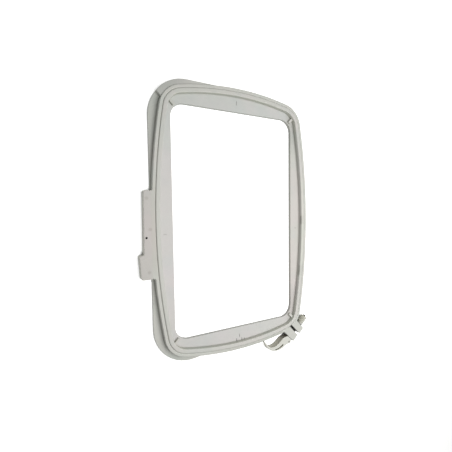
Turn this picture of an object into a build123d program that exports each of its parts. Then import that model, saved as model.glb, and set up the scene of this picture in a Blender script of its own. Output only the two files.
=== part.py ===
from build123d import *
import math
import os

os.makedirs("parts", exist_ok=True)

# Quick-release embroidery hoop with a 160 x 256 mm window, in millimetres.
# The underside of the hoop lies on z = 0 and +Z is the fabric side.  The origin is the
# centre of the embroidery field.  +Y is the long direction, the connector tab is on the
# -X side, and the clamp sits at the (+X, -Y) corner.
# Places in the clamp are given as (along, out): "along" runs with the bolt axis, and
# "out" is the distance from the origin, square to that axis.
# Cutting bodies run past the faces they open.

# --- rings ------------------------------------------------------------------
HOOP_H = 8.0                    # height of the outer ring
RIM_H = 8.4                     # height of the inner ring's rim
FIELD_X, FIELD_Y = 80.0, 128.0  # half width and half length of the window
FIELD_R = 15.0                  # corner radius of the window

OUT_X, OUT_Y = 103.4, 153.4     # half width and half length of the outer ring
SIDE_R = 728.0                  # bow radius of the long sides
END_R = 345.0                   # bow radius of the short ends
CORNER_R = 28.0                 # corner radius of the outer ring
SIDE_SAG = 0.00068              # the long side falls back by about this times y squared
SIDE_CX = OUT_X - SIDE_R        # centre of the +X side arc, on y = 0
END_CY = OUT_Y - END_R          # centre of the +Y end arc, on x = 0

OUTER_WALL = 3.7                # thickness of the outer ring
RING_GAP = 0.12                 # clearance between the two rings
GAP_R = 1.1                     # rounding of both rings along the gap
EDGE_R = 0.8                    # rounding of the outer hoop's other top edges
FOOT_R = 0.3                    # rounding of its bottom edges

# --- inner ring -------------------------------------------------------------
INNER_DEPTH = OUTER_WALL + RING_GAP     # inner ring's outer wall, inside the outline
RIM_IN = 8.6                    # the rim ends this far inside the outline
RIM_MID = 6.0                   # depth that parts the rim's outer edges from its inner ones
WEB_T = 3.0                     # thickness of the flat web
GROOVE_ZS = (2.8, 4.6)          # undersides of the grooves around the rim
GROOVE_H, GROOVE_DEEP = 0.6, 0.25
RIB_L, RIB_W, RIB_H = 24.0, 3.0, 2.8    # short ribs at the web's corners
RIB_CLEAR = 1.8                 # they stop this far from the window
RIB_DX, RIB_DY = 13.0, 13.7     # rib centre, from the centre of the window's corner
RIB_SINK = 0.3
MARK_DEEP = 0.25
CENTRE_MARKS = [                # x, y, size in x, size in y
    (0, 138.6, 0.6, 4.6), (0.5, -138.9, 0.6, 4.2),
    (88.2, -11.0, 3.4, 1.2), (-89.0, -10.7, 3.6, 1.3)]
TICKS = [(-3.6, 2.9), (3.7, 2.6), (7.2, 1.7)]   # x, reach in from the rim
TICK_W, TICK_H, TICK_SINK = 0.7, 2.1, 0.3
EJECTOR_DEEP = 0.06             # shallow round ejector marks
WEB_EJECTOR_R = 2.0
WEB_EJECTORS = [                # x, y
    (-88.4, 73.9), (-89.2, -67.2), (89.4, 72.5), (90.0, -72.9),
    (-38, 139.3), (40, 139.3), (-38, -139.3), (40, -139.3)]

# --- base flange on the -X side ---------------------------------------------
FLANGE_T = 2.0
FLANGE_X = 103.7                # how far the flange reaches
FLANGE_CX, FLANGE_CY = 62.0, 112.0      # centres of its corners
FLANGE_R = FLANGE_X - FLANGE_CX # corner radius in x
FLANGE_LOW_R = 41.6             # radius in y of the -Y corner
FLANGE_TOP_X, FLANGE_LOW_X = -20.0, -36.0   # where it runs out into the ring, +Y and -Y
FLANGE_TUCK = 0.15              # its ends start this far inside the outline
FLANGE_LAP = 1.2                # overlap with the ring wall
FLANGE_EDGE_R = 0.6
RAISED_T = 6.6                  # thick part of the flange at the +Y corner
RAISED_R = 40.9                 # radius in y of that corner
RAISED_SUM = 41.1               # the thick part starts at the line y - |x| = this

# --- connector tab ----------------------------------------------------------
TAB_TOP_Y, TAB_STEP_Y, TAB_BOT_Y = 35.6, -30.4, -56.0
TAB_X1, TAB_X2 = 112.4, 117.2   # reach above and below the step
TAB_ROOT_X = -97.0
TAB_PLATE = 2.4                 # top skin above the moulded pockets
POCKETS, POCKET_RIB = 7, 1.5    # pocket count, thickness of the ribs between them
POCKET_IN_X = -101.6            # edge of the pockets next to the ring
POCKET_R = 0.9
TAB_HOLE = (-109.4, -12.9)
TAB_HOLE_R = 1.15
TAB_HOLE_DEEP = 5.5             # blind hole, in a boss under the tab's skin
BOSS_WALL = 1.6
RELIEF_R = 0.75                 # reliefs where the tab's ends meet the ring
TAB_EJECTOR_R = 1.6
TAB_EJECTORS = [(-108.3, 27.3), (-105.4, -4.4), (-107.4, -48.4)]

# --- clamp ------------------------------------------------------------------
CLAMP_ANGLE = 44.0              # direction of the bolt axis, from +X
BOLT_OUT = 166.6                # distance of that axis from the origin
BOLT_Z = 4.7
SPLIT_A, SPLIT_B = -44.1, -41.0 # faces of the split
CAM_LUG_A, CAM_LUG_OUT = -54.6, 173.5
NUT_LUG_B, NUT_LUG_OUT = -31.5, 175.0
LUG_ROOT_R = 1.6
BOLT_D = 4.0
BOLT_HOLE = 4.3
THREAD_PITCH = 0.7
THREAD_DEEP = 0.34
THREAD_START = -46.5

CAM_PLATE_W, CAM_PLATE_H, CAM_PLATE_T = 9.0, 6.0, 1.0
CAM_PLATE_R = 0.6
CAM_PLATE_SINK = 0.5
SEAT_CLEAR = 0.1
PIN_D = 2.4
PIN_RUN = 0.03                  # running clearance between pin and eye
EYE_R, EYE_T = 2.45, 2.8
NECK_W = 3.1
CAM_MAX = 4.2                   # cam height with the lever closed
CAM_RISE = 1.5                  # how far the cam lets the bolt move
CAM_EXTRA = 0.2                 # radians of cam past the open position
CAM_STEPS = 26
LEVER_OPEN = 110.0              # degrees
LEVER_Z0, LEVER_Z1 = 0.1, 8.3
SHOULDER = 6.6                  # flat of the lever's knuckle, towards the ring
KNEE_R = 1.6
SLOT_GAP = 0.12                 # clearance above and below the eye
SWING_W, SWING_L, SWING_STEPS = 4.0, 9, 12  # room for the bolt's swing

WASHER_T, WASHER_R = 0.8, 4.3
KNOB_LEN = 11.6
KNOB_R0, KNOB_R1 = 4.1, 4.5     # collar and grip
FLUTES, FLUTE_R = 16, 0.7
INSERT_LEN, INSERT_R = 6.0, 3.0
CLIP_R, CLIP_T = 2.75, 0.7
TIP_OUT = 2.0                   # bolt end standing out of the thumb nut

# stations along the bolt axis
CAM_FACE = CAM_LUG_A - (CAM_PLATE_T - CAM_PLATE_SINK)   # face the cam bears on
PIVOT_AT = CAM_FACE - 0.03 - CAM_MAX
WASHER_AT = NUT_LUG_B + 0.02
NUT_START = WASHER_AT + WASHER_T + 0.04
NUT_END = NUT_START + KNOB_LEN
BOLT_TIP = NUT_END + TIP_OUT
CLIP_AT = NUT_END - 1.5

# --- lever arm, outline in plan (x, y) --------------------------------------
ARM_OUTER = [                   # edge away from the ring, knuckle to tip
    (67.95, -164.6), (62.35, -167.4), (57.35, -168.7), (52.15, -168.9),
    (46.15, -167.3), (40.15, -163.3), (36.15, -158.3), (33.45, -153.2)]
ARM_TIP = (34.45, -152.7)
ARM_INNER = [                   # edge next to the ring, tip to knuckle
    (37.8, -156.9), (42.2, -161.3), (47.2, -163.0), (52.0, -162.2),
    (55.3, -160.6), (58.3, -158.4), (61.4, -156.0), (64.9, -154.1)]
TIP_TANGENT = (-0.45, 0.9)
ARM_UNDERCUT = [                # x, z of the cut under the arm's tip
    (47.0, -1.0), (47.0, LEVER_Z0), (42.0, 1.2), (32.0, 5.9), (32.0, -1.0)]
CRESCENT_NEAR = [(49.6, -166.3), (53.9, -166.0), (58.3, -164.6), (62.3, -162.2)]
CRESCENT_FAR = [
    (62.3, -162.2), (63.6, -162.5), (63.6, -163.6), (61.6, -165.1),
    (56.5, -166.9), (51.5, -167.3), (49.6, -166.3)]
CRESCENT_DEEP = 3.4


# ---------------------------------------------------------------------------
# shared helpers
# ---------------------------------------------------------------------------
ON_BASE = (Align.CENTER, Align.CENTER, Align.MIN)
FROM_END = (Align.MIN, Align.CENTER, Align.MIN)

AXIS_COS = math.cos(math.radians(CLAMP_ANGLE))
AXIS_SIN = math.sin(math.radians(CLAMP_ANGLE))
BOLT_DIR = Vector(AXIS_COS, AXIS_SIN, 0)
OUT_DIR = Vector(AXIS_SIN, -AXIS_COS, 0)
BOLT_PARALLEL = Axis(origin=(0, 0, 0), direction=BOLT_DIR)


def clamp_xy(along, out):
    """Plan point at a place given in the clamp's directions."""
    return (along * AXIS_COS + out * AXIS_SIN, along * AXIS_SIN - out * AXIS_COS)


PIVOT = clamp_xy(PIVOT_AT, BOLT_OUT)


def poly_face(points):
    return make_face(Polyline(*points, close=True))


def clamp_rect(along0, along1, out0, out1):
    return poly_face([clamp_xy(along0, out0), clamp_xy(along1, out0),
                      clamp_xy(along1, out1), clamp_xy(along0, out1)])


def axial_plane(along, out=BOLT_OUT, z=BOLT_Z):
    """Plane with its normal along the bolt axis; local x outwards, local y down."""
    x, y = clamp_xy(along, out)
    return Plane(origin=(x, y, z), x_dir=OUT_DIR, z_dir=BOLT_DIR)


def axial_cylinder(along0, along1, radius):
    return axial_plane(along0) * Cylinder(radius, along1 - along0, align=ON_BASE)


def upright_cylinder(x, y, z, radius, height):
    return Pos(x, y, z) * Cylinder(radius, height, align=ON_BASE)


def upright_box(x, y, z, size_x, size_y, size_z):
    return Pos(x, y, z) * Box(size_x, size_y, size_z, align=ON_BASE)


def solid_of(shape):
    """The largest solid of a boolean result."""
    return max(shape.solids(), key=lambda s: s.volume)


def largest_face(shape):
    return shape.faces().sort_by(SortBy.AREA)[-1]


def soft_fillet(part, edges, radius):
    """Fillet with the largest of a few radii that the geometry takes."""
    if not edges:
        return part
    for share in (1.0, 0.8, 0.6, 0.4, 0.25):
        # the kernel may refuse a radius; the next smaller one is then used
        try:
            out = fillet(edges, radius * share)
            if out.volume > 0 and out.is_valid:
                return solid_of(out)
        except Exception:
            pass
    return part


def round_level(part, z, radius, chosen=lambda middle: True, tol=1e-4):
    """Round the edges lying at height z whose middle point is chosen."""
    edges = []
    for e in part.edges():
        box = e.bounding_box()
        if abs(box.min.Z - z) < tol and abs(box.max.Z - z) < tol and chosen(e @ 0.5):
            edges.append(e)
    return soft_fillet(part, edges, radius)


# ---------------------------------------------------------------------------
# bowed rectangle shared by both rings
# ---------------------------------------------------------------------------
def solve_corner():
    """Centre of the (+X, +Y) corner arc, tangent to the side arc and the end arc."""
    from_side, from_end = SIDE_R - CORNER_R, END_R - CORNER_R
    dx, dy = -SIDE_CX, END_CY       # from side centre to end centre
    span = math.hypot(dx, dy)
    foot = (from_side ** 2 - from_end ** 2 + span ** 2) / (2 * span)
    height = math.sqrt(from_side ** 2 - foot ** 2)
    return (SIDE_CX + (foot * dx - height * dy) / span, (foot * dy + height * dx) / span)


CORNER_X, CORNER_Y = solve_corner()
# directions in which the corner arc meets the side arc and the end arc
SIDE_MEET = math.atan2(CORNER_Y, CORNER_X - SIDE_CX)
END_MEET = math.atan2(CORNER_Y - END_CY, CORNER_X)


def ring_face(depth):
    """Closed bowed rectangle, depth inside the outer ring's outline."""
    def on_arc(cx, cy, radius, angle):
        return (cx + radius * math.cos(angle), cy + radius * math.sin(angle))

    def flip(point, sign_x, sign_y):
        return (point[0] * sign_x, point[1] * sign_y)

    side = on_arc(SIDE_CX, 0, SIDE_R - depth, SIDE_MEET)
    end = on_arc(0, END_CY, END_R - depth, END_MEET)
    mid = on_arc(CORNER_X, CORNER_Y, CORNER_R - depth, (SIDE_MEET + END_MEET) / 2)
    half_x, half_y = OUT_X - depth, OUT_Y - depth
    # ends and middles of the eight arcs by turns, anticlockwise
    points = [
        flip(side, 1, -1), (half_x, 0), side, mid,
        end, (0, half_y), flip(end, -1, 1), flip(mid, -1, 1),
        flip(side, -1, 1), (-half_x, 0), flip(side, -1, -1), flip(mid, -1, -1),
        flip(end, -1, -1), (0, -half_y), flip(end, 1, -1), flip(mid, 1, -1)]
    count = len(points)
    return make_face(Wire([
        ThreePointArc(points[i], points[i + 1], points[(i + 2) % count])
        for i in range(0, count, 2)]))


def ring_depth(point):
    """How far a point lies inside the outer ring's outline, in plan."""
    x, y = abs(point.X), abs(point.Y)
    angle = math.atan2(y - CORNER_Y, x - CORNER_X)
    if x > CORNER_X and y > CORNER_Y and SIDE_MEET < angle < END_MEET:
        return CORNER_R - math.hypot(x - CORNER_X, y - CORNER_Y)
    return min(SIDE_R - math.hypot(x - SIDE_CX, y), END_R - math.hypot(x, y - END_CY))


# ---------------------------------------------------------------------------
# outer hoop: split ring, connector tab, two clamp lugs, base flange
# ---------------------------------------------------------------------------
def side_x(y):
    """Approximate x of the ring's -X side."""
    return -OUT_X + SIDE_SAG * y ** 2


def round_corner(face, vertex, radius):
    # guards a corner whose edges are too short for the radius: it is left sharp
    try:
        return largest_face(fillet([vertex], radius))
    except Exception:
        return face


def outer_plan():
    """Ring, tab and lugs in plan, split at the clamp and with rounded corners."""
    top_corner = (-TAB_X1 + 0.8, TAB_TOP_Y)
    step_inner = (-TAB_X1, TAB_STEP_Y)
    step_outer = (-TAB_X2, TAB_STEP_Y - 0.6)
    low_corner = (-TAB_X2 + 1.4, TAB_BOT_Y + 1.7)
    tab = poly_face([
        (TAB_ROOT_X, TAB_TOP_Y), top_corner, step_inner, step_outer, low_corner,
        (-TAB_X2 + 3.0, TAB_BOT_Y), (TAB_ROOT_X, TAB_BOT_Y)])
    cam_lug = clamp_rect(CAM_LUG_A, SPLIT_A + 1, 148.0, CAM_LUG_OUT)
    nut_lug = clamp_rect(SPLIT_B - 1, NUT_LUG_B, 150.0, NUT_LUG_OUT)
    plan = ring_face(0) + tab + cam_lug + nut_lug
    plan = plan - ring_face(OUTER_WALL)
    plan = plan - clamp_rect(SPLIT_A, SPLIT_B, 140.0, 190.0)
    plan = largest_face(plan)

    corners = [                 # point, radius
        (top_corner, 2.6),
        (step_inner, 0.8),
        (step_outer, 1.8),
        (low_corner, 1.4),
        ((side_x(TAB_TOP_Y), TAB_TOP_Y), 1.0),
        ((side_x(TAB_BOT_Y), TAB_BOT_Y), 1.0),
        (clamp_xy(CAM_LUG_A, CAM_LUG_OUT), 1.2),
        (clamp_xy(SPLIT_A, CAM_LUG_OUT), 0.8),
        (clamp_xy(SPLIT_B, NUT_LUG_OUT), 1.6),
        (clamp_xy(NUT_LUG_B, NUT_LUG_OUT), 1.8)]
    for (x, y), radius in corners:
        nearest = min(plan.vertices(), key=lambda v: math.hypot(v.X - x, v.Y - y))
        plan = round_corner(plan, nearest, radius)

    # concave roots of the lugs, where their outer flanks meet the ring
    for flank in (CAM_LUG_A, NUT_LUG_B):
        roots = [v for v in plan.vertices()
                 if abs(v.X * AXIS_COS + v.Y * AXIS_SIN - flank) < 0.05
                 and v.X * AXIS_SIN - v.Y * AXIS_COS < 165]
        plan = round_corner(plan, roots[-1], LUG_ROOT_R)
    return plan


def build_flange():
    """Thin base flange and its thick part at the +Y corner."""
    def end_root(x):
        return math.sqrt(END_R ** 2 - x ** 2)

    top_y = END_CY + end_root(FLANGE_TOP_X)
    low_y = END_CY + end_root(FLANGE_LOW_X)
    top_end = (FLANGE_TOP_X, top_y - FLANGE_TUCK)
    low_end = (FLANGE_LOW_X, -low_y + FLANGE_TUCK)
    low_slope = -FLANGE_LOW_X / end_root(FLANGE_LOW_X)
    cx = -FLANGE_CX
    side = Line((-FLANGE_X, -FLANGE_CY), (-FLANGE_X, FLANGE_CY))
    top_corner = EllipticalCenterArc(
        (cx, FLANGE_CY), FLANGE_R, RAISED_R, start_angle=90, arc_size=90)
    low_corner = EllipticalCenterArc(
        (cx, -FLANGE_CY), FLANGE_R, FLANGE_LOW_R, start_angle=180, arc_size=90)
    top_run = Line((cx, FLANGE_CY + RAISED_R), top_end)
    low_run = Spline(low_end, (cx, -FLANGE_CY - FLANGE_LOW_R),
                     tangents=[(-1, low_slope), (-1, 0)])
    inside = Polyline(
        top_end, (FLANGE_TOP_X + 6, top_y - 2.6), (-60, 120),
        (-60, -120), (FLANGE_LOW_X + 6, -low_y + 2.6), low_end)
    plan = make_face(Wire([top_run, *inside.edges(), low_run, low_corner, side, top_corner]))
    plan = largest_face(plan - ring_face(FLANGE_LAP))
    raised_area = poly_face([
        (-75.0, RAISED_SUM + 75.0), (-110.0, RAISED_SUM + 110.0),
        (-110.0, 190.0), (10.0, 190.0), (10.0, 140.0), (-40.0, 130.0)])
    low_plan = largest_face(plan - raised_area)
    raised_plan = largest_face(plan & raised_area)

    def on_outline(p):
        if p.X < -FLANGE_X + 0.8:
            return True
        return p.X < FLANGE_TOP_X + 0.5 and abs(p.Y) > FLANGE_CY - 1 and (
            math.hypot(p.X - cx, abs(p.Y) - FLANGE_CY) > 40
            or p.X > cx and ring_depth(p) < -0.05)

    low = solid_of(extrude(low_plan, FLANGE_T))
    low = round_level(low, FLANGE_T, FLANGE_EDGE_R, on_outline)
    raised = solid_of(extrude(raised_plan, RAISED_T))
    raised = round_level(raised, RAISED_T, FLANGE_EDGE_R, on_outline)
    return low, raised


def cut_tab_pockets(body):
    """Row of pockets under the tab, open at the bottom, with cross ribs between."""
    start = TAB_BOT_Y + 3.4
    length = (TAB_TOP_Y - 3.0 - start - POCKET_RIB * (POCKETS - 1)) / POCKETS
    for i in range(POCKETS):
        y0 = start + i * (length + POCKET_RIB)
        y1 = y0 + length
        if y1 < TAB_STEP_Y + 1:
            x_out = -TAB_X2 + 3.2
        elif y0 < TAB_STEP_Y:
            x_out = -TAB_X1 + 1.9
        else:
            x_out = -TAB_X1 + 1.9 + 0.6
        pocket = upright_box((x_out + POCKET_IN_X) / 2, (y0 + y1) / 2, 0,
                             POCKET_IN_X - x_out, length, HOOP_H - TAB_PLATE)
        body = body - fillet(pocket.edges().filter_by(Axis.Z), POCKET_R)
    return solid_of(body)


def build_outer():
    def on_gap(p):
        return abs(ring_depth(p) - OUTER_WALL) < 0.05

    body = solid_of(extrude(outer_plan(), HOOP_H))
    body = round_level(body, HOOP_H, EDGE_R, lambda p: not on_gap(p))
    body = round_level(body, HOOP_H, GAP_R, on_gap)
    body = round_level(body, 0.0, FOOT_R)

    # round end of the nut lug about the bolt
    lug_start = SPLIT_B - 0.5
    keep = axial_cylinder(lug_start, NUT_LUG_B + 0.5, NUT_LUG_OUT - BOLT_OUT + 0.4)
    lug_end = axial_plane(lug_start, BOLT_OUT + 1.8) * Box(
        20, 30, NUT_LUG_B - SPLIT_B + 1.0, align=FROM_END)
    body = solid_of(body - (lug_end - keep))

    low_flange, raised_flange = build_flange()
    body = solid_of(body + low_flange + raised_flange)

    body = cut_tab_pockets(body)
    boss = upright_cylinder(*TAB_HOLE, 0.3, TAB_HOLE_R + BOSS_WALL, HOOP_H - 1.0)
    hole = upright_cylinder(*TAB_HOLE, HOOP_H - TAB_HOLE_DEEP, TAB_HOLE_R, TAB_HOLE_DEEP + 1)
    body = solid_of(body + boss) - hole

    # small relief where the tab's ends meet the ring wall and the flange
    for sign, y in ((1, TAB_TOP_Y), (-1, TAB_BOT_Y)):
        body = body - upright_cylinder(side_x(y) - 2.2, y - sign * 0.25, FLANGE_T,
                                       RELIEF_R, HOOP_H)

    # bolt bore through both lugs, and the seat of the cam plate
    body = body - axial_cylinder(CAM_LUG_A - 2, NUT_LUG_B + 2, BOLT_HOLE / 2)
    seat = axial_plane(CAM_LUG_A - 1) * Box(
        CAM_PLATE_W + SEAT_CLEAR, CAM_PLATE_H + SEAT_CLEAR, 1 + CAM_PLATE_SINK, align=ON_BASE)
    body = body - fillet(seat.edges().filter_by(BOLT_PARALLEL), CAM_PLATE_R)

    for x, y in TAB_EJECTORS:
        body = body - upright_cylinder(x, y, HOOP_H - EJECTOR_DEEP, TAB_EJECTOR_R, 1)
    return solid_of(body)


# ---------------------------------------------------------------------------
# inner hoop: rim plus flat web around the window
# ---------------------------------------------------------------------------
def build_inner():
    def at_window(p):
        return abs(p.X) < FIELD_X + 0.5 and abs(p.Y) < FIELD_Y + 0.5

    def on_outer_wall(p):
        return ring_depth(p) <= RIM_MID

    window = RectangleRounded(2 * FIELD_X, 2 * FIELD_Y, FIELD_R)
    web = solid_of(extrude(ring_face(INNER_DEPTH + 1.0) - window, WEB_T))
    web = round_level(web, WEB_T, 0.5, at_window)
    web = round_level(web, 0, 0.3, at_window)
    rim = solid_of(extrude(ring_face(INNER_DEPTH) - ring_face(RIM_IN), RIM_H))
    rim = round_level(rim, RIM_H, 1.1, lambda p: not on_outer_wall(p))
    rim = round_level(rim, RIM_H, GAP_R, on_outer_wall)
    rim = round_level(rim, 0, 0.5, on_outer_wall)
    body = solid_of(rim + web)

    # grooves around the rim's outer wall
    for z in GROOVE_ZS:
        band = ring_face(INNER_DEPTH - 1) - ring_face(INNER_DEPTH + GROOVE_DEEP)
        body = body - extrude(Pos(0, 0, z) * band, GROOVE_H)
    body = solid_of(body)

    # short diagonal ribs at the four corners of the web
    keep_off = RectangleRounded(
        2 * (FIELD_X + RIB_CLEAR), 2 * (FIELD_Y + RIB_CLEAR), FIELD_R + RIB_CLEAR)
    rib_room = extrude(ring_face(RIM_IN - 0.4) - keep_off, HOOP_H)
    for sign_x, sign_y in ((-1, 1), (-1, -1), (1, 1), (1, -1)):
        x = sign_x * (FIELD_X - FIELD_R + RIB_DX)
        y = sign_y * (FIELD_Y - FIELD_R + RIB_DY)
        turn = Rot(0, 0, 45 if sign_x * sign_y > 0 else -45)
        rib = Pos(x, y, WEB_T - RIB_SINK) * turn * Box(
            RIB_L, RIB_W, RIB_H + RIB_SINK, align=ON_BASE)
        rib = fillet(rib.edges().group_by(Axis.Z)[-1], 0.4)
        body = body + (rib & rib_room)
    body = solid_of(body)

    # centre marks engraved in the web, one per side
    for x, y, size_x, size_y in CENTRE_MARKS:
        body = body - upright_box(x, y, WEB_T - MARK_DEEP, size_x, size_y, 1)
    # three short ticks engraved at the foot of the rim, at the -Y end
    for x, reach in TICKS:
        place = Pos(x, -(OUT_Y - RIM_IN) - TICK_SINK, WEB_T - TICK_SINK)
        body = body - place * Box(TICK_W, reach + TICK_SINK, TICK_H,
                                  align=(Align.CENTER, Align.MIN, Align.MIN))
    for x, y in WEB_EJECTORS:
        body = body - upright_cylinder(x, y, WEB_T - EJECTOR_DEEP, WEB_EJECTOR_R, 1)
    return solid_of(body)


# ---------------------------------------------------------------------------
# clamp
# ---------------------------------------------------------------------------
def lever_plan():
    """Lever outline: cam, outer edge, tip, inner edge, knee, flat shoulder."""
    # flat-follower cam: its height falls evenly as the lever opens
    closed = math.radians(CLAMP_ANGLE)
    opening = math.radians(LEVER_OPEN)
    sweep = opening + CAM_EXTRA
    rate = CAM_RISE / opening
    cam = []
    for i in range(CAM_STEPS + 1):
        turned = sweep * i / CAM_STEPS
        angle = closed - turned
        height = CAM_MAX - rate * turned
        cam.append((PIVOT[0] + height * math.cos(angle) - rate * math.sin(angle),
                    PIVOT[1] + height * math.sin(angle) + rate * math.cos(angle)))
    start_dir = (math.sin(closed), -math.cos(closed))
    end_dir = (math.sin(closed - sweep), -math.cos(closed - sweep))
    cam_edge = Spline(*cam, tangents=[start_dir, end_dir])
    outer_edge = Spline(cam[-1], *ARM_OUTER, tangents=[end_dir, TIP_TANGENT])
    tip_start = ARM_OUTER[-1]
    tip_mid = ((tip_start[0] + ARM_TIP[0]) / 2 - 0.05, (tip_start[1] + ARM_TIP[1]) / 2 + 0.45)
    tip_edge = ThreePointArc(tip_start, tip_mid, ARM_TIP)

    # flat shoulder beside the cam, then a rounded knee into the inner edge
    corner_x, corner_y = clamp_xy(PIVOT_AT + CAM_MAX, BOLT_OUT - SHOULDER)
    turn = math.radians(90 - CLAMP_ANGLE)
    setback = KNEE_R * math.tan(turn / 2)
    knee = (corner_x - setback, corner_y)
    knee_mid = (knee[0] + KNEE_R * math.sin(turn / 2),
                corner_y - KNEE_R * (1 - math.cos(turn / 2)))
    flat_end = clamp_xy(PIVOT_AT + CAM_MAX, BOLT_OUT - SHOULDER + setback)
    inner_edge = Spline(ARM_TIP, *ARM_INNER, knee,
                        tangents=[(-TIP_TANGENT[0], -TIP_TANGENT[1]), (1, 0)])
    knee_edge = ThreePointArc(knee, knee_mid, flat_end)
    shoulder = Line(flat_end, cam[0])
    return make_face(Wire([cam_edge, outer_edge, tip_edge, inner_edge, knee_edge, shoulder]))


def build_lever():
    lever = solid_of(extrude(Pos(0, 0, LEVER_Z0) * lever_plan(), LEVER_Z1 - LEVER_Z0))
    lever = round_level(lever, LEVER_Z1, 0.6)
    lever = round_level(lever, LEVER_Z0, 0.4)
    # the arm's underside rises towards the tip, for a fingertip
    side_view = Plane(origin=(0, -140, 0), x_dir=(1, 0, 0), z_dir=(0, -1, 0))
    lever = lever - extrude(side_view * poly_face(ARM_UNDERCUT), 60)
    # crescent pocket in the top of the arm
    crescent = make_face(Wire([Spline(*CRESCENT_NEAR), Spline(*CRESCENT_FAR)]))
    lever = lever - extrude(Pos(0, 0, LEVER_Z1 - CRESCENT_DEEP) * crescent, 8)
    # slot for the eye and for the bolt's swing
    slot_z = BOLT_Z - EYE_T / 2 - SLOT_GAP
    slot_h = EYE_T + 2 * SLOT_GAP
    slot = upright_cylinder(*PIVOT, slot_z, EYE_R + 0.3, slot_h)
    swing = None
    for i in range(SWING_STEPS + 1):
        turn = Rot(0, 0, CLAMP_ANGLE - LEVER_OPEN * i / SWING_STEPS)
        arm = Pos(*PIVOT, slot_z) * turn * Box(SWING_L, SWING_W, slot_h, align=FROM_END)
        swing = arm if swing is None else swing + arm
    lever = lever - slot - swing
    return solid_of(lever - upright_cylinder(*PIVOT, 0, PIN_D / 2, 12))


def build_pin():
    pin = upright_cylinder(*PIVOT, LEVER_Z0 + 0.1, PIN_D / 2, LEVER_Z1 - LEVER_Z0 - 0.2)
    return solid_of(chamfer(pin.edges().filter_by(GeomType.CIRCLE), 0.2))


def build_bolt():
    eye_z = BOLT_Z - EYE_T / 2
    eye = upright_cylinder(*PIVOT, eye_z, EYE_R, EYE_T)
    neck = Pos(*PIVOT, eye_z) * Rot(0, 0, CLAMP_ANGLE) * Box(
        CAM_FACE + 0.6 - PIVOT_AT, NECK_W, EYE_T, align=FROM_END)

    # shank with ring-shaped thread grooves, one turned profile of (radius, along)
    start = CAM_FACE + 0.2
    radius = BOLT_D / 2
    profile = [(0, start), (radius - 0.25, start), (radius, start + 0.3)]
    along = THREAD_START
    profile.append((radius, along))
    while along + THREAD_PITCH < BOLT_TIP - 0.7:
        profile.append((radius - THREAD_DEEP, along + THREAD_PITCH * 0.5))
        profile.append((radius, along + THREAD_PITCH * 0.85))
        profile.append((radius, along + THREAD_PITCH))
        along += THREAD_PITCH
    profile += [(radius, BOLT_TIP - 0.6), (radius - 0.55, BOLT_TIP), (0, BOLT_TIP)]
    origin = (*clamp_xy(0, BOLT_OUT), BOLT_Z)
    # local y of this plane points against the bolt direction, hence the minus sign
    plane = Plane(origin=origin, x_dir=OUT_DIR, z_dir=(0, 0, -1))
    section = poly_face([(r, -a) for r, a in profile])
    shank = revolve(plane * section, Axis(origin=origin, direction=BOLT_DIR), 360)

    bolt = eye + neck + shank
    return solid_of(bolt - upright_cylinder(*PIVOT, 0, PIN_D / 2 + PIN_RUN, 12))


def build_cam_plate():
    plate = axial_plane(CAM_FACE) * Box(
        CAM_PLATE_W, CAM_PLATE_H, CAM_PLATE_T - 0.02, align=ON_BASE)
    plate = fillet(plate.edges().filter_by(BOLT_PARALLEL), CAM_PLATE_R)
    return solid_of(plate - axial_cylinder(CAM_FACE - 2, CAM_FACE + 3, BOLT_HOLE / 2))


def build_washer():
    disc = axial_cylinder(WASHER_AT, WASHER_AT + WASHER_T, WASHER_R)
    return solid_of(disc - axial_cylinder(NUT_LUG_B - 1, NUT_LUG_B + 3, BOLT_D / 2 + 0.06))


def build_knob():
    """Turned thumb nut with grip flutes, made upright and then laid on the bolt axis."""
    profile = [                 # radius, height
        (0, 0), (KNOB_R0 - 0.3, 0), (KNOB_R0, 0.3), (KNOB_R0, 1.6), (KNOB_R1, 2.4),
        (KNOB_R1, KNOB_LEN - 1.0), (KNOB_R1 - 0.9, KNOB_LEN), (0, KNOB_LEN)]
    knob = revolve(Plane.XZ * poly_face(profile), Axis.Z, 360)
    flute_at = KNOB_R1 + 0.42
    for i in range(FLUTES):
        angle = 2 * math.pi * i / FLUTES
        knob = knob - upright_cylinder(flute_at * math.cos(angle), flute_at * math.sin(angle),
                                       2.6, FLUTE_R, KNOB_LEN)
    # bore for the insert, then the recess of the end clip
    knob = knob - Cylinder(INSERT_R, INSERT_LEN, align=ON_BASE)
    knob = knob - upright_cylinder(0, 0, INSERT_LEN - 0.01, CLIP_R + 0.2, KNOB_LEN)
    return solid_of(axial_plane(NUT_START) * solid_of(knob))


def build_insert():
    end = NUT_START + INSERT_LEN
    insert = axial_cylinder(NUT_START, end, INSERT_R)
    insert = insert - axial_cylinder(NUT_START - 1, end + 1, BOLT_D / 2 + 0.03)
    # two retaining grooves in the outside
    for offset in (1.6, 3.8):
        at = NUT_START + offset
        ring = axial_cylinder(at, at + 0.6, INSERT_R + 1)
        insert = insert - (ring - axial_cylinder(at - 0.1, at + 0.7, INSERT_R - 0.25))
    return solid_of(insert)


def build_clip():
    """Thin ring near the end of the bolt, slotted on its outward side."""
    clip = axial_cylinder(CLIP_AT, CLIP_AT + CLIP_T, CLIP_R)
    clip = clip - axial_cylinder(CLIP_AT - 1, CLIP_AT + 2, BOLT_D / 2)
    return solid_of(clip - axial_plane(CLIP_AT - 0.5) * Box(6, 1.2, 2, align=FROM_END))


PARTS = [
    ("outer_hoop", build_outer),
    ("inner_hoop", build_inner),
    ("clamp_lever", build_lever),
    ("lever_pivot_pin", build_pin),
    ("draw_bolt", build_bolt),
    ("cam_plate", build_cam_plate),
    ("thrust_washer", build_washer),
    ("thumb_nut", build_knob),
    ("nut_insert", build_insert),
    ("end_clip", build_clip),
]

for name, build in PARTS:
    shape = build()
    shape.label = name
    export_step(shape, "parts/" + name + ".step")
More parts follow.
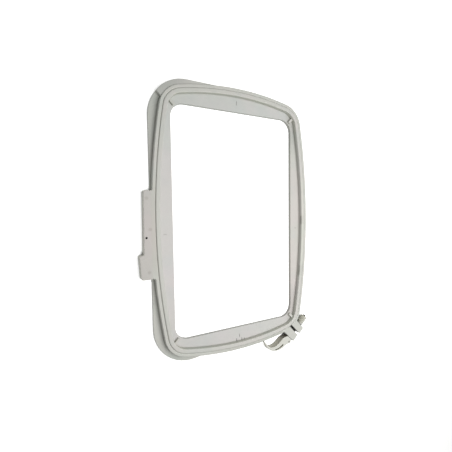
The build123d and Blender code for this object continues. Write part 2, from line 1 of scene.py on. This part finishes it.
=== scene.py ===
"""Materials and stage for a two-hoop frame with a corner clamp.

The outer hoop surrounds the inner hoop, whose web has a rounded window centred on
the origin. Both lie flat on z = 0, with their long sides along Y. A tab stands out on the
-X side. The clamp's draw bolt crosses the +X -Y corner at 44 degrees from +X.
"""
import math
from functools import reduce

import bpy
from mathutils import Matrix, Vector

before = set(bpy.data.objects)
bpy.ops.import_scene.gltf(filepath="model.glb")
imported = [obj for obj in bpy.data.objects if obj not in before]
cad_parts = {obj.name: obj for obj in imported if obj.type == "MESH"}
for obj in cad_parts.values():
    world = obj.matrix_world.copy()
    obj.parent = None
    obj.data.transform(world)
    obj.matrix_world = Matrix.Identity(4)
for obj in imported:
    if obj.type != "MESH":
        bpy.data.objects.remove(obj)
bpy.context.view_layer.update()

scene = bpy.context.scene

MM = 0.001

# The bolt's axis, in metres
BOLT_ANGLE = math.radians(44.0)
BOLT_RADIUS = 0.1666        # distance of the axis from the frame's centre
BOLT_Z = 0.0047
PIVOT_ALONG = -0.05933      # the lever's pivot, along the bolt's axis


def bolt_point(along):
    """Point on the bolt's axis, in metres."""
    cosine, sine = math.cos(BOLT_ANGLE), math.sin(BOLT_ANGLE)
    return (along * cosine + BOLT_RADIUS * sine, along * sine - BOLT_RADIUS * cosine, BOLT_Z)


BOLT_ORIGIN = bolt_point(0.0)
BOLT_TURN = (0, 0, BOLT_ANGLE)
PIVOT_ORIGIN = bolt_point(PIVOT_ALONG)
PIVOT_TURN = (0, math.radians(-90), 0)      # stands local x upright

# Features that the colouring follows, in millimetres
WINDOW_HALF = (80, 128)
WINDOW_CORNER = 15
TAB_HOLE = (-109.4, -12.9)
TAB_TOP = 7.95
TAB_STAINS = ((-108.3, 27.3), (-105.4, -4.4), (-107.4, -48.4))
POCKET_START, POCKET_END = (50.5, -166.4), (62.6, -163.2)
LEVER_SHADE = (70.5, -153.6, 3.0)
SLOT = (85.5, -148.0, 4.0)
SLOT_REACH = 16.0


# --------------------------------------------------------------------------
# node helpers
# --------------------------------------------------------------------------
class Shader:
    """A Principled material, with helpers that add nodes and return their output."""

    def __init__(self, name):
        self.material = bpy.data.materials.new(name)
        self.material.use_nodes = True
        self.tree = self.material.node_tree
        self.tree.nodes.clear()
        output = self.add("ShaderNodeOutputMaterial")
        self.surface = self.add("ShaderNodeBsdfPrincipled")
        self.put(output.inputs["Surface"], self.surface.outputs["BSDF"])

    def add(self, kind, inputs=None, **settings):
        node = self.tree.nodes.new(kind)
        for key, value in settings.items():
            setattr(node, key, value)
        for key, value in (inputs or {}).items():
            self.put(node.inputs[key], value)
        return node

    def put(self, socket, value):
        """Link an output to the socket, or set the socket to a value."""
        if isinstance(value, bpy.types.NodeSocket):
            self.tree.links.new(value, socket)
        elif socket.type == "RGBA":
            socket.default_value = (*value, 1.0)
        else:
            socket.default_value = value

    def set(self, name, value):
        self.put(self.surface.inputs[name], value)

    # positions
    def coords(self, origin=(0, 0, 0), rotation=(0, 0, 0), scale=None):
        """Position in a local frame, in metres, then scaled along its axes."""
        position = self.add("ShaderNodeTexCoord").outputs["Object"]
        inputs = {"Vector": position, "Location": origin, "Rotation": rotation}
        local = self.add("ShaderNodeMapping", inputs, vector_type="TEXTURE").outputs["Vector"]
        return local if scale is None else self.vector("MULTIPLY", local, scale)

    def separate(self, vector):
        return self.add("ShaderNodeSeparateXYZ", {0: vector}).outputs

    def xyz(self, origin=(0, 0, 0), rotation=(0, 0, 0)):
        return self.separate(self.coords(origin, rotation))

    def distance(self, point):
        """Distance in metres from a point given in millimetres."""
        local = self.coords(origin=tuple(v * MM for v in point))
        node = self.add("ShaderNodeVectorMath", {0: local}, operation="LENGTH")
        return node.outputs["Value"]

    # arithmetic
    def vector(self, operation, first, second):
        node = self.add("ShaderNodeVectorMath", {0: first, 1: second}, operation=operation)
        return node.outputs["Vector"]

    def calc(self, operation, first, second=0.0, *third, clamp=False):
        inputs = dict(enumerate((first, second, *third)))
        return self.add("ShaderNodeMath", inputs, operation=operation, use_clamp=clamp).outputs[0]

    def product(self, *factors):
        return reduce(lambda a, b: self.calc("MULTIPLY", a, b), factors)

    def most(self, *masks):
        return reduce(lambda a, b: self.calc("MAXIMUM", a, b), masks)

    def affine(self, value, gain, offset, clamp=False):
        return self.calc("MULTIPLY_ADD", value, gain, offset, clamp=clamp)

    def vary(self, noise, amount, centre=1.0):
        """Noise from 0 to 1 becomes a spread of the given amount about the centre."""
        return self.affine(noise, amount, centre - amount / 2)

    def inverse(self, mask):
        return self.calc("SUBTRACT", 1.0, mask)

    def clamped(self, value):
        return self.calc("MULTIPLY", value, 1.0, clamp=True)

    def hypot(self, a, b):
        squares = self.calc("ADD", self.product(a, a), self.product(b, b))
        return self.calc("SQRT", squares)

    # ramps
    def ramp(self, value, start, end, low=0.0, high=1.0, smooth=True):
        """Goes from low to high as the value goes from start to end."""
        inputs = {"Value": value, "From Min": start, "From Max": end,
                  "To Min": low, "To Max": high}
        kind = "SMOOTHSTEP" if smooth else "LINEAR"
        node = self.add("ShaderNodeMapRange", inputs, clamp=True, interpolation_type=kind)
        return node.outputs["Result"]

    def rise(self, length, start, end, **options):
        """A ramp over a length in metres, with start and end in millimetres."""
        return self.ramp(length, start * MM, end * MM, **options)

    def between(self, length, start, end, soft):
        """1 from start to end, with soft ends, in millimetres."""
        return self.product(self.rise(length, start - soft, start + soft),
                            self.rise(length, end + soft, end - soft))

    # patterns
    def noise(self, vector, scale, detail=2.0, rough=0.5, distort=0.0):
        inputs = {"Vector": vector, "Scale": scale, "Detail": detail,
                  "Roughness": rough, "Distortion": distort}
        return self.add("ShaderNodeTexNoise", inputs).outputs["Fac"]

    def scratches(self, angle, width, seed):
        """Sparse thin lines at one angle, faded in and out by patches."""
        stretched = self.coords((seed, seed * 0.37, 0), (0, 0, angle), scale=(22, 2600, 2600))
        line = self.noise(stretched, scale=1.0, detail=1.0, rough=0.4, distort=0.15)
        patch = self.noise(self.coords(origin=(seed * 1.7, 0, 0)), scale=38.0, detail=1.0)
        return self.product(self.ramp(line, 0.70 - width, 0.70), self.ramp(patch, 0.50, 0.66))

    def specks(self, vector, scale):
        """Small dots in about a fifth of the cells."""
        cells = self.add("ShaderNodeTexVoronoi", {"Vector": vector, "Scale": scale},
                         feature="F1", distance="EUCLIDEAN").outputs
        pick = self.add("ShaderNodeSeparateColor", {0: cells["Color"]}).outputs[0]
        return self.product(self.ramp(cells["Distance"], 0.050, 0.030),
                            self.ramp(pick, 0.80, 0.84))

    # masks from the surface's shape
    def normal(self):
        return self.add("ShaderNodeNewGeometry").outputs["Normal"]

    def edge(self, radius):
        """0 on flats, rising where the surface turns within the radius."""
        bevel = self.add("ShaderNodeBevel", {"Radius": radius}, samples=6)
        inputs = {0: bevel.outputs["Normal"], 1: self.normal()}
        turn = self.add("ShaderNodeVectorMath", inputs, operation="DOT_PRODUCT")
        return self.ramp(turn.outputs["Value"], 0.995, 0.82)

    def openness(self, distance, samples):
        """1 in the open, falling as nearby surfaces hide more of the sky."""
        node = self.add("ShaderNodeAmbientOcclusion", {"Distance": distance}, samples=samples)
        return node.outputs["AO"]

    def crevice(self, distance):
        """1 in tight inside corners, 0 in the open."""
        return self.ramp(self.openness(distance, samples=6), 0.95, 0.35)

    def facing_up(self):
        return self.ramp(self.separate(self.normal())[2], 0.55, 0.9)

    def wall(self):
        """1 on walls, 0 on surfaces that face up."""
        return self.inverse(self.ramp(self.separate(self.normal())[2], 0.30, 0.80))

    # colour and surface
    def mix(self, mask, first, second, mode="MIX"):
        node = self.add("ShaderNodeMix", {"Factor": mask},
                        data_type="RGBA", blend_type=mode, clamp_factor=True)
        sockets = [s for s in node.inputs if s.type == "RGBA"]
        for socket, value in zip(sockets, (first, second)):
            self.put(socket, value)
        return next(s for s in node.outputs if s.type == "RGBA")

    def tint(self, mask, colour, factor):
        """Multiply the colour by an RGB factor where the mask is 1."""
        return self.mix(mask, colour, self.mix(1.0, colour, factor, mode="MULTIPLY"))

    def scaled(self, colour, amount):
        node = self.add("ShaderNodeVectorMath", {0: colour, "Scale": amount}, operation="SCALE")
        return node.outputs["Vector"]

    def set_roughness(self, value, *changes):
        """Add each mask times its change to the value, clamping the sum."""
        for mask, change in changes:
            value = self.affine(mask, change, value)
        value.node.use_clamp = True
        self.set("Roughness", value)

    def set_relief(self, *layers):
        """Stack bumps, each (height, strength, distance in metres)."""
        inputs = {}
        for height, strength, distance in layers:
            inputs |= {"Strength": strength, "Distance": distance, "Height": height}
            inputs["Normal"] = self.add("ShaderNodeBump", inputs).outputs["Normal"]
        self.set("Normal", inputs["Normal"])


# --------------------------------------------------------------------------
# moulded plastic: tinted patches, mottling, worn edges, grime with painted corner shade, painted
# slot shade, grain
# --------------------------------------------------------------------------
def moulded_plastic(name, base, warm, cool, grime_and_shade, worn, seed, tone, mark=None, rough=0.52,
                    wear=0.55, shade_and_dirt=0.35, edge_radius=0.0006, fade_corner_shade_high=False):
    """tone and mark recolour parts of the piece, below and above the grime, painted shade and
    wear; some tones paint shade and light.
    """
    mat = Shader(name)
    position = mat.coords(origin=(seed, -seed * 0.61, seed * 0.23))
    shifted = mat.coords(origin=(seed + 3.1, 1.7, 0.4))
    streaked = mat.coords((seed, 0, 0), (0, 0, 0.35), scale=(9, 46, 46))
    warm_patch = mat.noise(position, scale=24.0, detail=3.0, rough=0.55)
    cool_patch = mat.noise(shifted, scale=41.0, detail=3.0)
    mottle = mat.noise(position, scale=170.0, detail=4.0, rough=0.62, distort=0.3)
    speckle = mat.noise(position, scale=1150.0, rough=0.55)
    flow = mat.noise(streaked, scale=1.0, detail=4.0, rough=0.6, distort=0.8)

    col = mat.mix(mat.ramp(warm_patch, 0.40, 0.64, high=0.75), base, warm)
    col = mat.mix(mat.ramp(cool_patch, 0.46, 0.66, high=0.60), col, cool)
    lift = mat.product(mat.vary(mottle, 0.085), mat.vary(speckle, 0.06), mat.vary(flow, 0.06))
    col = tone(mat, mat.scaled(col, lift), mottle)

    # grime and painted shade in the corners
    corner_shade_and_grime = mat.calc("MULTIPLY", mat.crevice(0.0018), mat.affine(mottle, 0.9, 0.45),
                          clamp=True)
    if fade_corner_shade_high:
        # almost no grime or painted corner shade high up, except towards the -X side
        x, _, z = mat.xyz()
        keep_corner_shade = mat.inverse(mat.product(mat.rise(x, -92, -86), mat.rise(z, 5.8, 6.6)))
        corner_shade_and_grime = mat.product(corner_shade_and_grime, mat.affine(keep_corner_shade, 0.95, 0.05))
    col = mat.mix(mat.product(corner_shade_and_grime, shade_and_dirt), col, grime_and_shade)

    # painted shade: near black down the narrow slot by the lever
    slot_shade = mat.ramp(mat.openness(0.007, samples=8), 0.60, 0.24)
    near = mat.rise(mat.distance(SLOT), SLOT_REACH, SLOT_REACH * 0.8)
    col = mat.mix(mat.product(slot_shade, near, 0.92), col, (0.035, 0.033, 0.027))

    # polished edges broken up by noise, then hairline scratches
    breaks = mat.noise(position, scale=420.0, detail=3.0, rough=0.6)
    edges = mat.product(mat.edge(edge_radius), mat.ramp(breaks, 0.36, 0.62, low=0.25))
    col = mat.mix(mat.product(edges, wear), col, worn)
    scratches = mat.most(mat.scratches(angle=0.4 + seed, width=0.035, seed=seed + 5.0),
                         mat.scratches(angle=1.9 + seed, width=0.030, seed=seed + 9.0))
    col = mat.mix(mat.product(scratches, 0.28), col, worn)
    col = mat.mix(mat.product(mat.specks(position, scale=62.0), 0.32), col, grime_and_shade)
    if mark is not None:
        col = mark(mat, col)
    mat.set("Base Color", col)
    mat.set("IOR", 1.46)
    mat.set_roughness(mat.vary(mottle, 0.16, centre=rough),
                      (speckle, 0.06), (edges, -0.14), (corner_shade_and_grime, 0.12), (scratches, -0.12))

    grain = mat.noise(position, scale=4200.0, detail=3.0, rough=0.6)
    sink = mat.noise(position, scale=95.0)
    mat.set_relief((sink, 0.35, 0.00010), (mottle, 0.20, 0.00006),
                   (grain, 0.55, 0.00003), (scratches, 0.25, -0.00003))
    return mat.material


# --------------------------------------------------------------------------
# metals: turned or straight-grained, with plating variation, worn edges, and grime with painted
# shade in corners
# --------------------------------------------------------------------------
def turned_grain(mat, local, lines, seed):
    """Rings about the local x axis."""
    x, y, z = mat.separate(local)
    across = {0: mat.product(x, lines), 1: mat.product(mat.hypot(y, z), lines), 2: seed}
    rings = mat.add("ShaderNodeCombineXYZ", across).outputs[0]
    return mat.noise(rings, scale=1.0, detail=3.0, rough=0.6)


def straight_grain(mat, local, lines, _seed):
    """Lines along local y."""
    stretched = mat.vector("MULTIPLY", local, (lines, lines * 0.03, lines))
    return mat.noise(stretched, scale=1.0, detail=3.0, rough=0.65)


def metal(name, base, patches, worn, grime_and_shade, seed, rough, grain=turned_grain,
          origin=BOLT_ORIGIN, rotation=BOLT_TURN, wear=0.7, shade_and_dirt=0.6, lines=9000.0, metallic=1.0):
    mat = Shader(name)
    position = mat.coords(origin=(seed, seed * 0.4, 0))
    tool = grain(mat, mat.coords(origin, rotation), lines, seed)
    patch = mat.noise(position, scale=320.0, detail=3.0, rough=0.55)
    bloom = mat.noise(position, scale=900.0, detail=4.0, rough=0.7, distort=0.5)

    col = mat.mix(mat.ramp(patch, 0.36, 0.68), base, patches)
    col = mat.scaled(col, mat.product(mat.vary(tool, 0.30), mat.vary(bloom, 0.18)))
    edges = mat.product(mat.edge(0.00025), mat.ramp(bloom, 0.35, 0.6, low=0.3))
    col = mat.mix(mat.product(edges, wear), col, worn)
    # grime and painted shade in the corners
    crevice = mat.crevice(0.0015)
    col = mat.mix(mat.product(crevice, shade_and_dirt), col, grime_and_shade)
    mat.set("Base Color", col)
    mat.set("Metallic", mat.affine(crevice, -0.35 * metallic, metallic, clamp=True))
    mat.set_roughness(mat.vary(tool, 0.16, centre=rough),
                      (bloom, 0.14), (edges, -0.08), (crevice, 0.25))
    mat.set_relief((tool, 0.5, 0.000012), (bloom, 0.2, 0.000024))
    return mat.material


# --------------------------------------------------------------------------
# tones: where parts of a piece differ in colour, painted shade and light among them, placed in
# millimetres
# --------------------------------------------------------------------------
def outer_tone(mat, col, mottle):
    """Painted shade on the base flange, lifted on its -Y stretch; tinted tab top, painted light
    on the tab's walls; stains; painted shade in the tab's hole.
    """
    x, y, z = mat.xyz()
    up = mat.facing_up()
    # painted shade on the flange's up-facing faces, stronger towards -X and on the raised part,
    # lifted between y -142 and -70
    flange_shade = mat.product(up, mat.rise(z, 7.3, 6.9), mat.rise(x, -50, -78, low=0.15))
    col = mat.tint(flange_shade, col, (0.885, 0.895, 0.895))
    col = mat.tint(mat.product(flange_shade, mat.rise(z, 4.0, 5.0)), col, (0.93, 0.93, 0.94))
    flange_shade_lifted = mat.product(flange_shade, mat.between(y, -142, -70, soft=12))
    col = mat.tint(flange_shade_lifted, col, (1.09, 1.085, 1.085))

    # greyer stretches of the ring's top: on the -Y side, the +X side and by the tab
    top = mat.product(up, mat.rise(z, 7.4, 7.8))
    stretch = mat.product(top, mat.rise(y, -130, -140), mat.rise(x, -60, 40), mat.rise(x, 67, 58))
    col = mat.tint(stretch, col, (0.86, 0.868, 0.85))
    stretch = mat.product(top, mat.rise(x, 76, 84), mat.between(y, -128, -58, soft=14))
    col = mat.tint(stretch, col, (0.945, 0.94, 0.94))
    stretch = mat.product(top, mat.rise(x, -95.5, -98), mat.rise(x, -105.5, -103.5),
                          mat.between(y, -50, 42, soft=16))
    col = mat.tint(stretch, col, (0.94, 0.915, 0.905))

    # the tab: a tint on its top, then painted light on its walls
    tab = mat.product(mat.rise(x, -103.0, -105.5), mat.between(y, -57, 37, soft=1.5))
    col = mat.tint(mat.product(tab, up), col, (0.948, 0.900, 0.922))
    col = mat.tint(mat.product(tab, mat.inverse(up)), col, (1.34, 1.31, 1.30))

    stains = []
    for stain_x, stain_y in TAB_STAINS:
        ragged = mat.calc("ADD", mat.distance((stain_x, stain_y, TAB_TOP)),
                          mat.vary(mottle, 1.6 * MM, centre=0.0))
        stains.append(mat.rise(ragged, 2.3, 1.0))
    col = mat.tint(mat.product(mat.most(*stains), 0.85), col, (0.83, 0.82, 0.80))

    # painted shade inside the tab's hole
    radius = mat.hypot(*(mat.calc("SUBTRACT", axis, centre * MM)
                         for axis, centre in zip((x, y), TAB_HOLE)))
    hole_shade = mat.product(mat.rise(radius, 1.35, 1.22), mat.rise(z, TAB_TOP, 7.2), 0.93)
    return mat.mix(hole_shade, col, (0.050, 0.048, 0.042))


def window_distance(mat, away_x, away_y):
    """Signed distance outwards from the window's rounded rectangle."""
    over_x, over_y = (mat.calc("SUBTRACT", away, (half - WINDOW_CORNER) * MM)
                      for away, half in zip((away_x, away_y), WINDOW_HALF))
    outside = mat.hypot(mat.most(over_x, 0.0), mat.most(over_y, 0.0))
    inside = mat.calc("MINIMUM", mat.most(over_x, over_y), 0.0)
    return mat.calc("SUBTRACT", mat.calc("ADD", outside, inside), WINDOW_CORNER * MM)


def inner_tone(mat, col, mottle):
    """Cooler web, yellowed +X side with painted shade towards its corners, painted shade on the
    rim's walls at both Y ends, soiled rim, and painted shade along the window edge.
    """
    x, y, z = mat.xyz()
    away_x, away_y = mat.calc("ABSOLUTE", x), mat.calc("ABSOLUTE", y)
    web = mat.rise(z, 4.6, 3.4)
    far_y = mat.rise(y, 40, 90)
    col = mat.tint(web, col, (1.010, 1.004, 1.040))
    col = mat.tint(mat.product(web, far_y), col, (0.985, 1.006, 1.000))
    blush = mat.ramp(mat.noise(mat.coords(origin=(0.7, 0.2, 0.0)), scale=17.0), 0.42, 0.62)
    col = mat.tint(mat.product(web, blush, mat.inverse(far_y)), col, (1.025, 0.995, 1.008))

    # the web's +X side is yellower, with painted shade from the rim towards its corners; the -X
    # side is lighter
    side = mat.product(web, mat.rise(x, 70, 79))
    col = mat.tint(side, col, (0.980, 0.966, 0.938))
    col = mat.tint(mat.product(side, mat.rise(away_y, 78, 108)), col, (0.865, 0.885, 0.880))
    col = mat.tint(mat.product(web, mat.rise(x, -70, -79)), col, (1.022, 1.024, 1.022))

    # the rim: painted shade on its walls at both Y ends, then its top on the +X side
    wall = mat.product(mat.wall(), mat.rise(away_y, 95, 115), mat.rise(z, 3.0, 3.6))
    col = mat.tint(wall, col, (0.93, 0.955, 0.90))
    rim = mat.product(mat.rise(z, 7.9, 8.2), mat.rise(x, 86, 91), mat.rise(away_y, 72, 40))
    col = mat.tint(rim, col, (1.045, 1.058, 1.030))

    # two dirty stretches high on the rim's +X wall
    soil = mat.most(mat.between(y, -6, 5, soft=1.5), mat.between(y, -75, -61, soft=2))
    soil = mat.product(soil, mat.rise(x, 86, 90), mat.between(z, 5.4, 8.2, soft=0.5),
                       mat.affine(mottle, 0.8, 0.5))
    col = mat.tint(mat.clamped(soil), col, (0.60, 0.60, 0.58))

    # painted shade along the window's edge wall
    window_edge_shade = mat.product(mat.rise(window_distance(mat, away_x, away_y), 0.55, 0.10),
                      mat.vary(mottle, 0.5), mat.rise(z, 0.2, 2.0, low=0.25))
    return mat.tint(mat.clamped(window_edge_shade), col, (0.695, 0.712, 0.680))


def lever_tone(mat, col, _mottle):
    """Painted shade: darker walls, darkest near one point, and a darker pocket."""
    wall = mat.wall()
    col = mat.tint(wall, col, (0.80, 0.785, 0.72))
    shade = mat.rise(mat.distance(LEVER_SHADE), 14, 1.5, high=0.88)
    col = mat.mix(mat.product(wall, shade), col, (0.075, 0.068, 0.048))

    # painted shade in the pocket: a band along the line from its start to its end, below the top
    # face
    (start_x, start_y), (end_x, end_y) = POCKET_START, POCKET_END
    angle = math.atan2(end_y - start_y, end_x - start_x)
    along, across, height = mat.xyz((start_x * MM, start_y * MM, 0.0), (0, 0, angle))
    off_centre = mat.calc("ABSOLUTE", mat.calc("ADD", across, 0.5 * MM))
    pocket = mat.product(mat.between(along, -0.5, 13.6, soft=0.4),
                         mat.rise(off_centre, 2.15, 1.85), mat.rise(height, 8.2, 7.6))
    return mat.tint(pocket, col, (0.62, 0.60, 0.50))


def knob_tone(mat, col, _mottle):
    """Painted shade on the side towards the ring (local +y), painted light on the outer side."""
    _, y, _ = mat.xyz(BOLT_ORIGIN, BOLT_TURN)
    col = mat.tint(mat.rise(y, -2.5, 3.5), col, (0.82, 0.815, 0.73))
    return mat.tint(mat.rise(y, -1.0, -3.8), col, (1.16, 1.16, 1.17))


def box_mask(mat, boxes, soft):
    """1 inside any box standing on z = 0: centre x, centre y, size x, size y, top."""
    axes = mat.xyz()
    masks = []
    for centre_x, centre_y, size_x, size_y, top in boxes:
        sides = []
        spans = ((centre_x, size_x), (centre_y, size_y), (top / 2, top))
        for axis, (centre, size) in zip(axes, spans):
            away = mat.calc("ABSOLUTE", mat.calc("SUBTRACT", axis, centre * MM))
            sides.append(mat.rise(away, size / 2 + soft, size / 2 - soft, smooth=False))
        masks.append(mat.product(*sides))
    return mat.most(*masks)


def centre_ink(mat, col):
    """Worn ink in the marks at the middle of each side and in three ticks on the -Y side."""
    web_top, tick_top, tick_foot = 2.94, 4.9, -145.0
    sharp = [(0.0, 138.6, 0.7, 4.7, web_top), (0.5, -138.9, 0.7, 4.3, web_top)]
    for x, reach in ((-3.6, 2.9), (3.7, 2.6), (7.2, 1.7)):
        sharp.append((x, tick_foot + reach / 2, 0.78, reach + 0.8, tick_top))
    faint = [(88.2, -11.0, 3.5, 1.3, web_top), (-89.0, -10.7, 3.7, 1.4, web_top)]
    patches = mat.noise(mat.coords(origin=(0.3, 0.1, 0)), scale=900.0, detail=3.0, rough=0.6)
    left = mat.ramp(patches, 0.34, 0.60, low=1.0, high=0.45)
    ink = mat.product(box_mask(mat, sharp, soft=0.06), left)
    col = mat.mix(ink, col, (0.060, 0.060, 0.064))
    ink = mat.product(box_mask(mat, faint, soft=0.2), 0.30, left)
    return mat.mix(ink, col, (0.120, 0.115, 0.110))


# --------------------------------------------------------------------------
# the pieces' materials
# --------------------------------------------------------------------------
# grime and painted corner shade colour for the hoops
HOOP_GRIME_AND_SHADE = (0.255, 0.243, 0.185)
WORN_PLASTIC = (0.640, 0.640, 0.600)

MATERIALS = {
    "outer_hoop": moulded_plastic(
        "outer_hoop_plastic", base=(0.512, 0.520, 0.484), warm=(0.532, 0.522, 0.496),
        cool=(0.492, 0.510, 0.480), grime_and_shade=HOOP_GRIME_AND_SHADE, worn=WORN_PLASTIC, seed=0.0,
        tone=outer_tone, fade_corner_shade_high=True),
    "inner_hoop": moulded_plastic(
        "inner_hoop_plastic", base=(0.520, 0.524, 0.490), warm=(0.545, 0.526, 0.508),
        cool=(0.500, 0.514, 0.490), grime_and_shade=HOOP_GRIME_AND_SHADE, worn=WORN_PLASTIC, seed=2.3,
        tone=inner_tone, mark=centre_ink, rough=0.55, fade_corner_shade_high=True),
    "clamp_lever": moulded_plastic(
        "clamp_lever_plastic", base=(0.575, 0.578, 0.535), warm=(0.590, 0.572, 0.528),
        cool=(0.545, 0.560, 0.515), grime_and_shade=(0.215, 0.203, 0.140), worn=(0.72, 0.72, 0.68),
        seed=4.9, tone=lever_tone, rough=0.46, wear=0.75, shade_and_dirt=0.75, edge_radius=0.0008),
    "thumb_nut": moulded_plastic(
        "thumb_nut_plastic", base=(0.500, 0.500, 0.465), warm=(0.520, 0.500, 0.470),
        cool=(0.470, 0.480, 0.450), grime_and_shade=(0.240, 0.228, 0.175), worn=WORN_PLASTIC,
        seed=7.7, tone=knob_tone, rough=0.48, wear=0.9, shade_and_dirt=0.60, edge_radius=0.0005),
    "draw_bolt": metal(
        "draw_bolt_steel", base=(0.085, 0.083, 0.080), patches=(0.125, 0.118, 0.108),
        worn=(0.36, 0.35, 0.33), grime_and_shade=(0.03, 0.028, 0.024), seed=1.1, rough=0.42,
        wear=0.6, metallic=0.9),
    "end_clip": metal(
        "end_clip_steel", base=(0.10, 0.10, 0.105), patches=(0.15, 0.15, 0.15),
        worn=(0.42, 0.41, 0.40), grime_and_shade=(0.03, 0.03, 0.03), seed=2.2, rough=0.38,
        grain=straight_grain),
    "lever_pivot_pin": metal(
        "pivot_pin_steel", base=(0.46, 0.455, 0.44), patches=(0.53, 0.52, 0.50),
        worn=(0.74, 0.73, 0.71), grime_and_shade=(0.10, 0.095, 0.08), seed=3.3, rough=0.26,
        origin=PIVOT_ORIGIN, rotation=PIVOT_TURN, lines=12000.0),
    "cam_plate": metal(
        "cam_plate_steel", base=(0.40, 0.40, 0.395), patches=(0.48, 0.475, 0.46),
        worn=(0.70, 0.69, 0.67), grime_and_shade=(0.09, 0.085, 0.07), seed=4.4, rough=0.30,
        grain=straight_grain),
    "thrust_washer": metal(
        "thrust_washer_zinc", base=(0.36, 0.36, 0.35), patches=(0.42, 0.415, 0.40),
        worn=(0.56, 0.55, 0.53), grime_and_shade=(0.12, 0.115, 0.10), seed=5.5, rough=0.55,
        metallic=0.45, shade_and_dirt=0.25),
    "nut_insert": metal(
        "nut_insert_brass", base=(0.62, 0.46, 0.20), patches=(0.70, 0.54, 0.26),
        worn=(0.86, 0.72, 0.42), grime_and_shade=(0.16, 0.11, 0.05), seed=6.6, rough=0.28),
}
for piece, material in MATERIALS.items():
    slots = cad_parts[piece].data.materials
    slots.clear()
    slots.append(material)


# --------------------------------------------------------------------------
# camera, floor, world and light
# --------------------------------------------------------------------------
def add_object(name, data):
    item = bpy.data.objects.new(name, data)
    scene.collection.objects.link(item)
    return item


def make_camera():
    """Looks down at the frame from above its -X side."""
    camera = bpy.data.cameras.new("camera")
    camera.sensor_width = 36.0
    camera.sensor_fit = "HORIZONTAL"
    camera.lens = 23.3517345
    camera.clip_start = 0.01
    camera.clip_end = 20.0
    right = (0.88426452, -0.01397268, 0.46677727)
    up = (0.03815547, 0.99837204, -0.04239622)
    back = (-0.46542498, 0.05529957, 0.8833581)
    place = Matrix.Translation((-0.17573325, 0.01451431, 0.30604348))
    item = add_object("camera", camera)
    item.matrix_world = place @ Matrix((right, up, back)).transposed().to_4x4()
    scene.camera = item


def floor_material():
    """White that glows a little to the camera, with painted shadow, near black, where the sky is
    hidden.
    """
    mat = Shader("floor_white")
    lit = mat.ramp(mat.openness(0.006, samples=8), 0.30, 0.52, low=0.04)
    mat.set("Base Color", mat.mix(lit, (0.02, 0.02, 0.018), (0.9, 0.9, 0.9)))
    mat.set("Roughness", 0.9)
    mat.set("Specular IOR Level", 0.1)
    camera_ray = mat.add("ShaderNodeLightPath").outputs["Is Camera Ray"]
    mat.set("Emission Color", (1, 1, 1))
    mat.set("Emission Strength", mat.product(camera_ray, lit, 0.58))
    return mat.material


def make_floor():
    half = 3
    corners = [(-half, -half, 0), (half, -half, 0), (half, half, 0), (-half, half, 0)]
    mesh = bpy.data.meshes.new("floor")
    mesh.from_pydata(corners, [], [(0, 1, 2, 3)])
    floor = add_object("floor", mesh)
    floor.location.z = -0.0004
    mesh.materials.append(floor_material())


def make_world():
    """Soft surrounding light, brighter where the camera sees it directly."""
    ambient, camera_extra = 0.30, 0.55
    world = bpy.data.worlds.new("world")
    scene.world = world
    world.use_nodes = True
    tree = world.node_tree
    background = tree.nodes["Background"]
    background.inputs["Color"].default_value = (0.985, 1.0, 0.975, 1)
    light_path = tree.nodes.new("ShaderNodeLightPath")
    strength = tree.nodes.new("ShaderNodeMath")
    strength.operation = "MULTIPLY_ADD"
    strength.inputs[1].default_value = camera_extra
    strength.inputs[2].default_value = ambient
    tree.links.new(light_path.outputs["Is Camera Ray"], strength.inputs[0])
    tree.links.new(strength.outputs[0], background.inputs["Strength"])


def make_key_light():
    """A broad disk above the frame, a little to the +X side."""
    location, target = Vector((0.125, -0.040, 0.46)), Vector((0.045, -0.02, 0.0))
    light = bpy.data.lights.new("key", "AREA")
    light.shape = "DISK"
    light.size = 0.50
    light.energy = 2.60
    light.color = (1.0, 0.99, 0.975)
    item = add_object("key", light)
    item.location = location
    item.rotation_euler = (target - location).to_track_quat("-Z", "Y").to_euler()


make_camera()
make_floor()
make_world()
make_key_light()
scene.view_settings.view_transform = "Standard"
